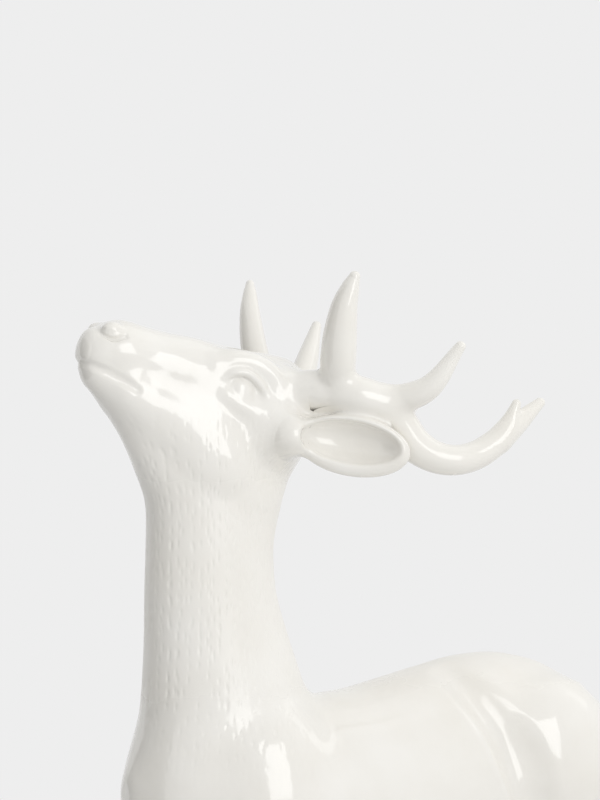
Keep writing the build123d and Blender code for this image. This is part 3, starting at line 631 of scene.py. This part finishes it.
def make_antlers():
    for side in ("left", "right"):
        clip = Clip(keep=[antler_kept(side)])
        data = surface(antler_shape(side), clip, (14, -84, 484), (94, 84, 624), FINE)
        make_piece(f"antler_{side}", data, f"{side}_antler_body", [f"{side}_antler"], flip=side == "right")


def antler_kept(side):
    """Near the joint only what belongs to the antler, and everything further out."""
    region = antler_region(side)
    joint = half_space(PEG_BASE, PEG_AXIS)

    def kept(x, y, z):
        far = np.sqrt((x - PEG_BASE[0]) ** 2 + (y - PEG_BASE[1]) ** 2 + (z - PEG_BASE[2]) ** 2)
        return np.where((far < JOINT_REACH) | (joint(x, y, z) < 1), region(x, y, z), -FAR)
    return kept


def make_torso():
    tail = limb(TAIL)[0]

    def rear_legs(x, y, z):
        return np.maximum(z - REAR_SEAM_Z, 60 - y) + 0 * x

    def neck(x, y, z):
        return np.maximum(NECK_SEAM_Z - z, y + 30) + 0 * x

    def tail_region(x, y, z):
        return np.maximum(182 - y, tail(x, y, z) - 4)

    clip = Clip(keep=[above_z(FRONT_SEAM_Z)],
                remove=[rear_legs, neck, tail_region, pad(POCKET_HALF, 150, SEAT_Z, 6)[0],
                        pad(HOLE_HALF, 150, 330, 6)[0]])
    data = surface(deer_shape(), clip, (-76, -190, 187), (76, 216, 381), COARSE)
    make_piece("torso", data, "deer", ["torso_shell"])
    data = surface(deer_shape(), Clip(keep=[tail_region]), (-20, 178, 290), (20, 216, 350), MEDIUM)
    make_piece("tail_tip", data, "deer", ["tail"])


def make_legs():
    for place, seam, low, high in (("front", FRONT_SEAM_Z, (6, -150, -1), (70, -70, 193)),
                                   ("rear", REAR_SEAM_Z, (6, 70, -1), (74, 182, 209))):
        clip = Clip(keep=[below_z(seam), above_z(PAD_TOP_Z)])
        data = surface(deer_shape(), clip, low, high, MEDIUM)
        make_piece(f"{place}_leg_left", data, "deer", [f"{place}_left_leg"])
        make_piece(f"{place}_leg_right", data, "deer", [f"{place}_right_leg"], flip=True)


# ---------------------------------------------------------------- materials
def new_material(name, **sockets):
    """A Principled material; sockets are set by name, with underscores for spaces."""
    material = bpy.data.materials.new(name)
    material.use_nodes = True
    shader = material.node_tree.nodes["Principled BSDF"]
    for key, value in sockets.items():
        shader.inputs[key.replace("_", " ")].default_value = value
    return material, material.node_tree.nodes, material.node_tree.links, shader


def noise(nodes, links, scale, detail=3.0, stretch=(1, 1, 1), turn=(0, 0, 0)):
    """Noise in the object's own space; stretch and turn shape its grain."""
    place = nodes.new("ShaderNodeTexCoord")
    mapping = nodes.new("ShaderNodeMapping")
    mapping.inputs["Scale"].default_value = stretch
    mapping.inputs["Rotation"].default_value = turn
    links.new(place.outputs["Object"], mapping.inputs["Vector"])
    texture = nodes.new("ShaderNodeTexNoise")
    texture.inputs["Scale"].default_value = scale
    texture.inputs["Detail"].default_value = detail
    links.new(mapping.outputs["Vector"], texture.inputs["Vector"])
    return texture.outputs["Fac"]


def ramp(nodes, links, source, low, high, from_low=0.3, from_high=0.7):
    """Colours between low and high as source runs between two levels."""
    stops = nodes.new("ShaderNodeValToRGB")
    stops.color_ramp.elements[0].position = from_low
    stops.color_ramp.elements[0].color = (*low, 1)
    stops.color_ramp.elements[1].position = from_high
    stops.color_ramp.elements[1].color = (*high, 1)
    links.new(source, stops.inputs["Fac"])
    return stops.outputs["Color"]


def spread(nodes, links, source, low, high):
    """Source remapped to run from low to high."""
    node = nodes.new("ShaderNodeMapRange")
    node.inputs["From Min"].default_value = 0.25
    node.inputs["From Max"].default_value = 0.75
    node.inputs["To Min"].default_value = low
    node.inputs["To Max"].default_value = high
    links.new(source, node.inputs["Value"])
    return node.outputs["Result"]


def rise(nodes, links, source, start, end, low, high):
    """A level that runs from low to high as source runs from start to end."""
    node = nodes.new("ShaderNodeMapRange")
    for key, value in (("From Min", start), ("From Max", end), ("To Min", low), ("To Max", high)):
        node.inputs[key].default_value = value
    links.new(source, node.inputs["Value"])
    return node.outputs["Result"]


def bump(nodes, links, source, depth, under=None):
    """A bump of a depth in metres, on top of another bump."""
    node = nodes.new("ShaderNodeBump")
    node.inputs["Distance"].default_value = depth
    links.new(source, node.inputs["Height"])
    if under is not None:
        links.new(under, node.inputs["Normal"])
    return node.outputs["Normal"]


def glazed_ceramic():
    """Warm white earthenware under a clear glaze in soft ripples, duller over the tooled neck."""
    material, nodes, links, shader = new_material(
        "glazed_ceramic", IOR=1.5, Coat_Roughness=0.02)
    cloud = noise(nodes, links, 18, 4)
    clay = ramp(nodes, links, cloud, (0.88, 0.855, 0.795), (0.93, 0.912, 0.865))
    links.new(clay, shader.inputs["Base Color"])
    place = nodes.new("ShaderNodeTexCoord")
    parts = nodes.new("ShaderNodeSeparateXYZ")
    links.new(place.outputs["Object"], parts.inputs["Vector"])
    fur = nodes.new("ShaderNodeMath")
    fur.operation = "MULTIPLY"
    links.new(rise(nodes, links, parts.outputs["Z"], 0.335, 0.37, 0, 1), fur.inputs[0])
    links.new(rise(nodes, links, parts.outputs["Z"], 0.485, 0.505, 1, 0), fur.inputs[1])
    links.new(rise(nodes, links, fur.outputs["Value"], 0, 1, 0.8, 0.12), shader.inputs["Coat Weight"])
    dull = nodes.new("ShaderNodeMath")
    dull.operation = "MULTIPLY_ADD"
    links.new(fur.outputs["Value"], dull.inputs[0])
    dull.inputs[1].default_value = 0.22
    links.new(spread(nodes, links, noise(nodes, links, 60, 2), 0.07, 0.15), dull.inputs[2])
    links.new(dull.outputs["Value"], shader.inputs["Roughness"])
    ripple = bump(nodes, links, noise(nodes, links, 55, 1), 0.0003)
    peel = noise(nodes, links, 210, 1)
    links.new(bump(nodes, links, peel, 0.00004, ripple), shader.inputs["Normal"])
    return material


def moulded(name, low, high, rough=0.45, grain=900.0, depth=0.00003, **sockets):
    """Moulded plastic, rubber or board: slight mottling and a fine even grain."""
    material, nodes, links, shader = new_material(name, **sockets)
    links.new(ramp(nodes, links, noise(nodes, links, 70, 4), low, high), shader.inputs["Base Color"])
    wear = spread(nodes, links, noise(nodes, links, 220, 3), rough - 0.08, rough + 0.1)
    links.new(wear, shader.inputs["Roughness"])
    links.new(bump(nodes, links, noise(nodes, links, grain, 2), depth), shader.inputs["Normal"])
    return material


def metal(name, low, high, rough=0.3, stretch=(1, 14, 1)):
    """Drawn or turned metal with fine lines along its grain."""
    material, nodes, links, shader = new_material(name, Metallic=1.0)
    lines = noise(nodes, links, 420, 3, stretch)
    links.new(ramp(nodes, links, noise(nodes, links, 120, 4), low, high), shader.inputs["Base Color"])
    links.new(spread(nodes, links, lines, rough - 0.1, rough + 0.12), shader.inputs["Roughness"])
    links.new(bump(nodes, links, lines, 0.00002), shader.inputs["Normal"])
    return material


def cell_wrap():
    """A plastic sleeve: black along the cell with a copper-coloured band at its positive end."""
    material, nodes, links, shader = new_material("cell_wrap", Coat_Weight=0.4)
    place = nodes.new("ShaderNodeTexCoord")
    parts = nodes.new("ShaderNodeSeparateXYZ")
    links.new(place.outputs["Object"], parts.inputs["Vector"])
    low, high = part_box("battery_1")
    level = nodes.new("ShaderNodeMapRange")
    level.inputs["From Min"].default_value = low.y
    level.inputs["From Max"].default_value = high.y
    links.new(parts.outputs["Y"], level.inputs["Value"])
    wrap = ramp(nodes, links, level.outputs["Result"], (0.02, 0.02, 0.022), (0.55, 0.26, 0.09), 0.69, 0.7)
    links.new(wrap, shader.inputs["Base Color"])
    links.new(spread(nodes, links, noise(nodes, links, 90, 3), 0.25, 0.4), shader.inputs["Roughness"])
    links.new(bump(nodes, links, noise(nodes, links, 300, 2), 0.00003), shader.inputs["Normal"])
    return material


def board(name, base, trace):
    """A circuit board: solder mask with tracks showing through it."""
    material, nodes, links, shader = new_material(name, Coat_Weight=0.3)
    place = nodes.new("ShaderNodeTexCoord")
    tracks = nodes.new("ShaderNodeTexBrick")
    tracks.inputs["Scale"].default_value = 260
    tracks.inputs["Mortar Size"].default_value = 0.08
    tracks.inputs["Color1"].default_value = (*base, 1)
    tracks.inputs["Color2"].default_value = (*(0.85 * np.array(base)), 1)
    tracks.inputs["Mortar"].default_value = (*trace, 1)
    links.new(place.outputs["Object"], tracks.inputs["Vector"])
    links.new(tracks.outputs["Color"], shader.inputs["Base Color"])
    links.new(spread(nodes, links, noise(nodes, links, 300, 3), 0.3, 0.5), shader.inputs["Roughness"])
    links.new(bump(nodes, links, tracks.outputs["Fac"], 0.00003), shader.inputs["Normal"])
    return material


def frosted_plastic():
    """A milky diffuser with a fine etched grain."""
    material, nodes, links, shader = new_material(
        "frosted_plastic", IOR=1.49, Transmission_Weight=0.35, Subsurface_Weight=0.3, Subsurface_Scale=0.003)
    links.new(ramp(nodes, links, noise(nodes, links, 40, 4), (0.82, 0.82, 0.8), (0.9, 0.9, 0.88)),
              shader.inputs["Base Color"])
    links.new(spread(nodes, links, noise(nodes, links, 500, 3), 0.4, 0.6), shader.inputs["Roughness"])
    links.new(bump(nodes, links, noise(nodes, links, 1600, 2), 0.00003), shader.inputs["Normal"])
    return material


def paint_cad_nodes():
    """Gives every CAD node that stays in view a finished material."""
    steel = metal("steel", (0.50, 0.50, 0.51), (0.62, 0.62, 0.63), 0.28)
    nickel = metal("nickel", (0.60, 0.58, 0.53), (0.72, 0.69, 0.63), 0.22)
    brass = metal("brass", (0.62, 0.45, 0.20), (0.75, 0.56, 0.27), 0.3)
    grey = moulded("grey_plastic", (0.30, 0.30, 0.31), (0.35, 0.35, 0.355), 0.5)
    black = moulded("black_plastic", (0.018, 0.018, 0.019), (0.03, 0.03, 0.031), 0.42)
    rubber = moulded("rubber", (0.035, 0.035, 0.036), (0.06, 0.06, 0.06), 0.75, 1400, 0.00005)
    aluminium = metal("aluminium", (0.70, 0.71, 0.72), (0.80, 0.81, 0.82), 0.35, (14, 1, 1))
    green = board("green_board", (0.02, 0.16, 0.07), (0.05, 0.27, 0.13))
    white = board("white_board", (0.78, 0.78, 0.76), (0.62, 0.62, 0.60))
    cell = cell_wrap()
    looks = {
        "left_peg": steel, "right_peg": steel, "left_socket": brass, "right_socket": brass,
        "hoof_pads": rubber, "port_frame": grey, "threaded_inserts": brass, "port_gasket": rubber,
        "lamp_housing": grey,
        "base_screws": steel, "battery_door": grey, "door_seal": rubber, "hinge_pin": steel,
        "battery_1": cell, "battery_2": cell, "battery_3": cell, "spring_contacts": nickel,
        "plate_contacts": nickel, "switch_body": black, "switch_knob": black, "diffuser": frosted_plastic(),
        "diffuser_screws": steel, "led_post": aluminium, "led_board": white,
        "led_chips": moulded("led_lens", (0.85, 0.72, 0.22), (0.92, 0.80, 0.33), 0.2, 1200, 0.00002),
        "driver_board": green, "board_screws": steel, "driver_chip": black,
        "driver_coil": moulded("ferrite", (0.05, 0.05, 0.052), (0.08, 0.08, 0.08), 0.6),
        "red_lead": moulded("red_wire", (0.50, 0.03, 0.02), (0.60, 0.05, 0.03), 0.4, Coat_Weight=0.2),
        "black_lead": moulded("black_wire", (0.02, 0.02, 0.02), (0.035, 0.035, 0.035), 0.4, Coat_Weight=0.2),
    }
    for name, material in looks.items():
        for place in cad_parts[name].material_slots:
            place.material = material


# ---------------------------------------------------------------- studio
def make_floor():
    """A pale round floor that takes the object's shadow and fades into the plain backdrop."""
    bm = bmesh.new()
    bmesh.ops.create_circle(bm, cap_ends=True, segments=96, radius=FLOOR_RADIUS)
    mesh = bpy.data.meshes.new("studio_floor")
    bm.to_mesh(mesh)
    bm.free()
    floor = bpy.data.objects.new("studio_floor", mesh)
    bpy.context.scene.collection.objects.link(floor)
    material, nodes, links, shader = new_material("studio_floor", Roughness=0.9, Specular_IOR_Level=0.0)
    tone = ramp(nodes, links, noise(nodes, links, 3, 2), (0.66, 0.66, 0.66), (0.67, 0.67, 0.67))
    links.new(tone, shader.inputs["Base Color"])
    glow = nodes.new("ShaderNodeEmission")
    glow.inputs["Color"].default_value = (BACKDROP, BACKDROP, BACKDROP, 1)
    place = nodes.new("ShaderNodeTexCoord")
    far = nodes.new("ShaderNodeVectorMath")
    far.operation = "LENGTH"
    links.new(place.outputs["Object"], far.inputs[0])
    fade = nodes.new("ShaderNodeMapRange")
    fade.inputs["From Min"].default_value = 0.35
    fade.inputs["From Max"].default_value = 1.3
    fade.interpolation_type = "SMOOTHSTEP"
    links.new(far.outputs["Value"], fade.inputs["Value"])
    mix = nodes.new("ShaderNodeMixShader")
    links.new(fade.outputs["Result"], mix.inputs["Fac"])
    links.new(shader.outputs["BSDF"], mix.inputs[1])
    links.new(glow.outputs["Emission"], mix.inputs[2])
    links.new(mix.outputs["Shader"], nodes["Material Output"].inputs["Surface"])
    mesh.materials.append(material)


def make_flag():
    """A dark panel out of view on the deer's nose side, so that its front falls into soft shade."""
    bm = bmesh.new()
    bmesh.ops.create_grid(bm, x_segments=4, y_segments=4, size=FLAG_SIZE / 2)
    mesh = bpy.data.meshes.new("studio_flag")
    bm.to_mesh(mesh)
    bm.free()
    flag = bpy.data.objects.new("studio_flag", mesh)
    flag.location = FLAG_PLACE
    flag.rotation_euler = (math.radians(90), 0, math.radians(-12))
    flag.visible_camera = False
    bpy.context.scene.collection.objects.link(flag)
    mesh.materials.append(moulded("studio_flag", (0.15, 0.15, 0.15), (0.16, 0.16, 0.16), 0.9))


def make_world():
    world = bpy.data.worlds.new("studio")
    world.use_nodes = True
    world.node_tree.nodes["Background"].inputs["Color"].default_value = (BACKDROP, BACKDROP, BACKDROP, 1)
    bpy.context.scene.world = world


def softbox(name, way, target, distance, size, power):
    """A rectangular lamp that looks at target from the direction way."""
    light = bpy.data.lights.new(name, "AREA")
    light.shape = "RECTANGLE"
    light.size, light.size_y = size
    light.energy = power
    lamp = bpy.data.objects.new(name, light)
    way = Vector(way).normalized()
    lamp.location = Vector(target) + way * distance
    lamp.rotation_euler = way.to_track_quat("Z", "Y").to_euler()
    lamp.visible_camera = False
    bpy.context.scene.collection.objects.link(lamp)


def make_camera():
    """Level with the deer's brow, from its front left quarter, with the head in the frame's left half."""
    camera = bpy.data.objects.new("camera", bpy.data.cameras.new("camera"))
    camera.data.lens = CAMERA_LENS
    camera.data.sensor_width = 36
    way = Vector((math.sin(CAMERA_AZIMUTH), -math.cos(CAMERA_AZIMUTH), 0))
    camera.location = Vector(CAMERA_AIM) + CAMERA_DISTANCE * way
    camera.rotation_euler = (math.radians(90), 0, CAMERA_AZIMUTH)
    bpy.context.scene.collection.objects.link(camera)
    bpy.context.scene.camera = camera


def make_lights():
    softbox("key", (0.93, 0.12, 0.30), LIGHT_TARGET, 1.6, (0.7, 0.9), 4.0)
    softbox("top", (0.1, 0.5, 1.0), LIGHT_TARGET, 1.9, (1.2, 1.2), 1.0)
    softbox("rear", (0.2, 0.82, 0.58), LIGHT_TARGET, 1.8, (0.4, 0.8), 0.6)


GLAZE = glazed_ceramic()
bpy.context.scene.view_settings.view_transform = "Standard"
make_camera()
make_world()
make_floor()
make_flag()
make_lights()
make_head()
make_antlers()
make_torso()
make_legs()
paint_cad_nodes()

bpy.context.view_layer.update()
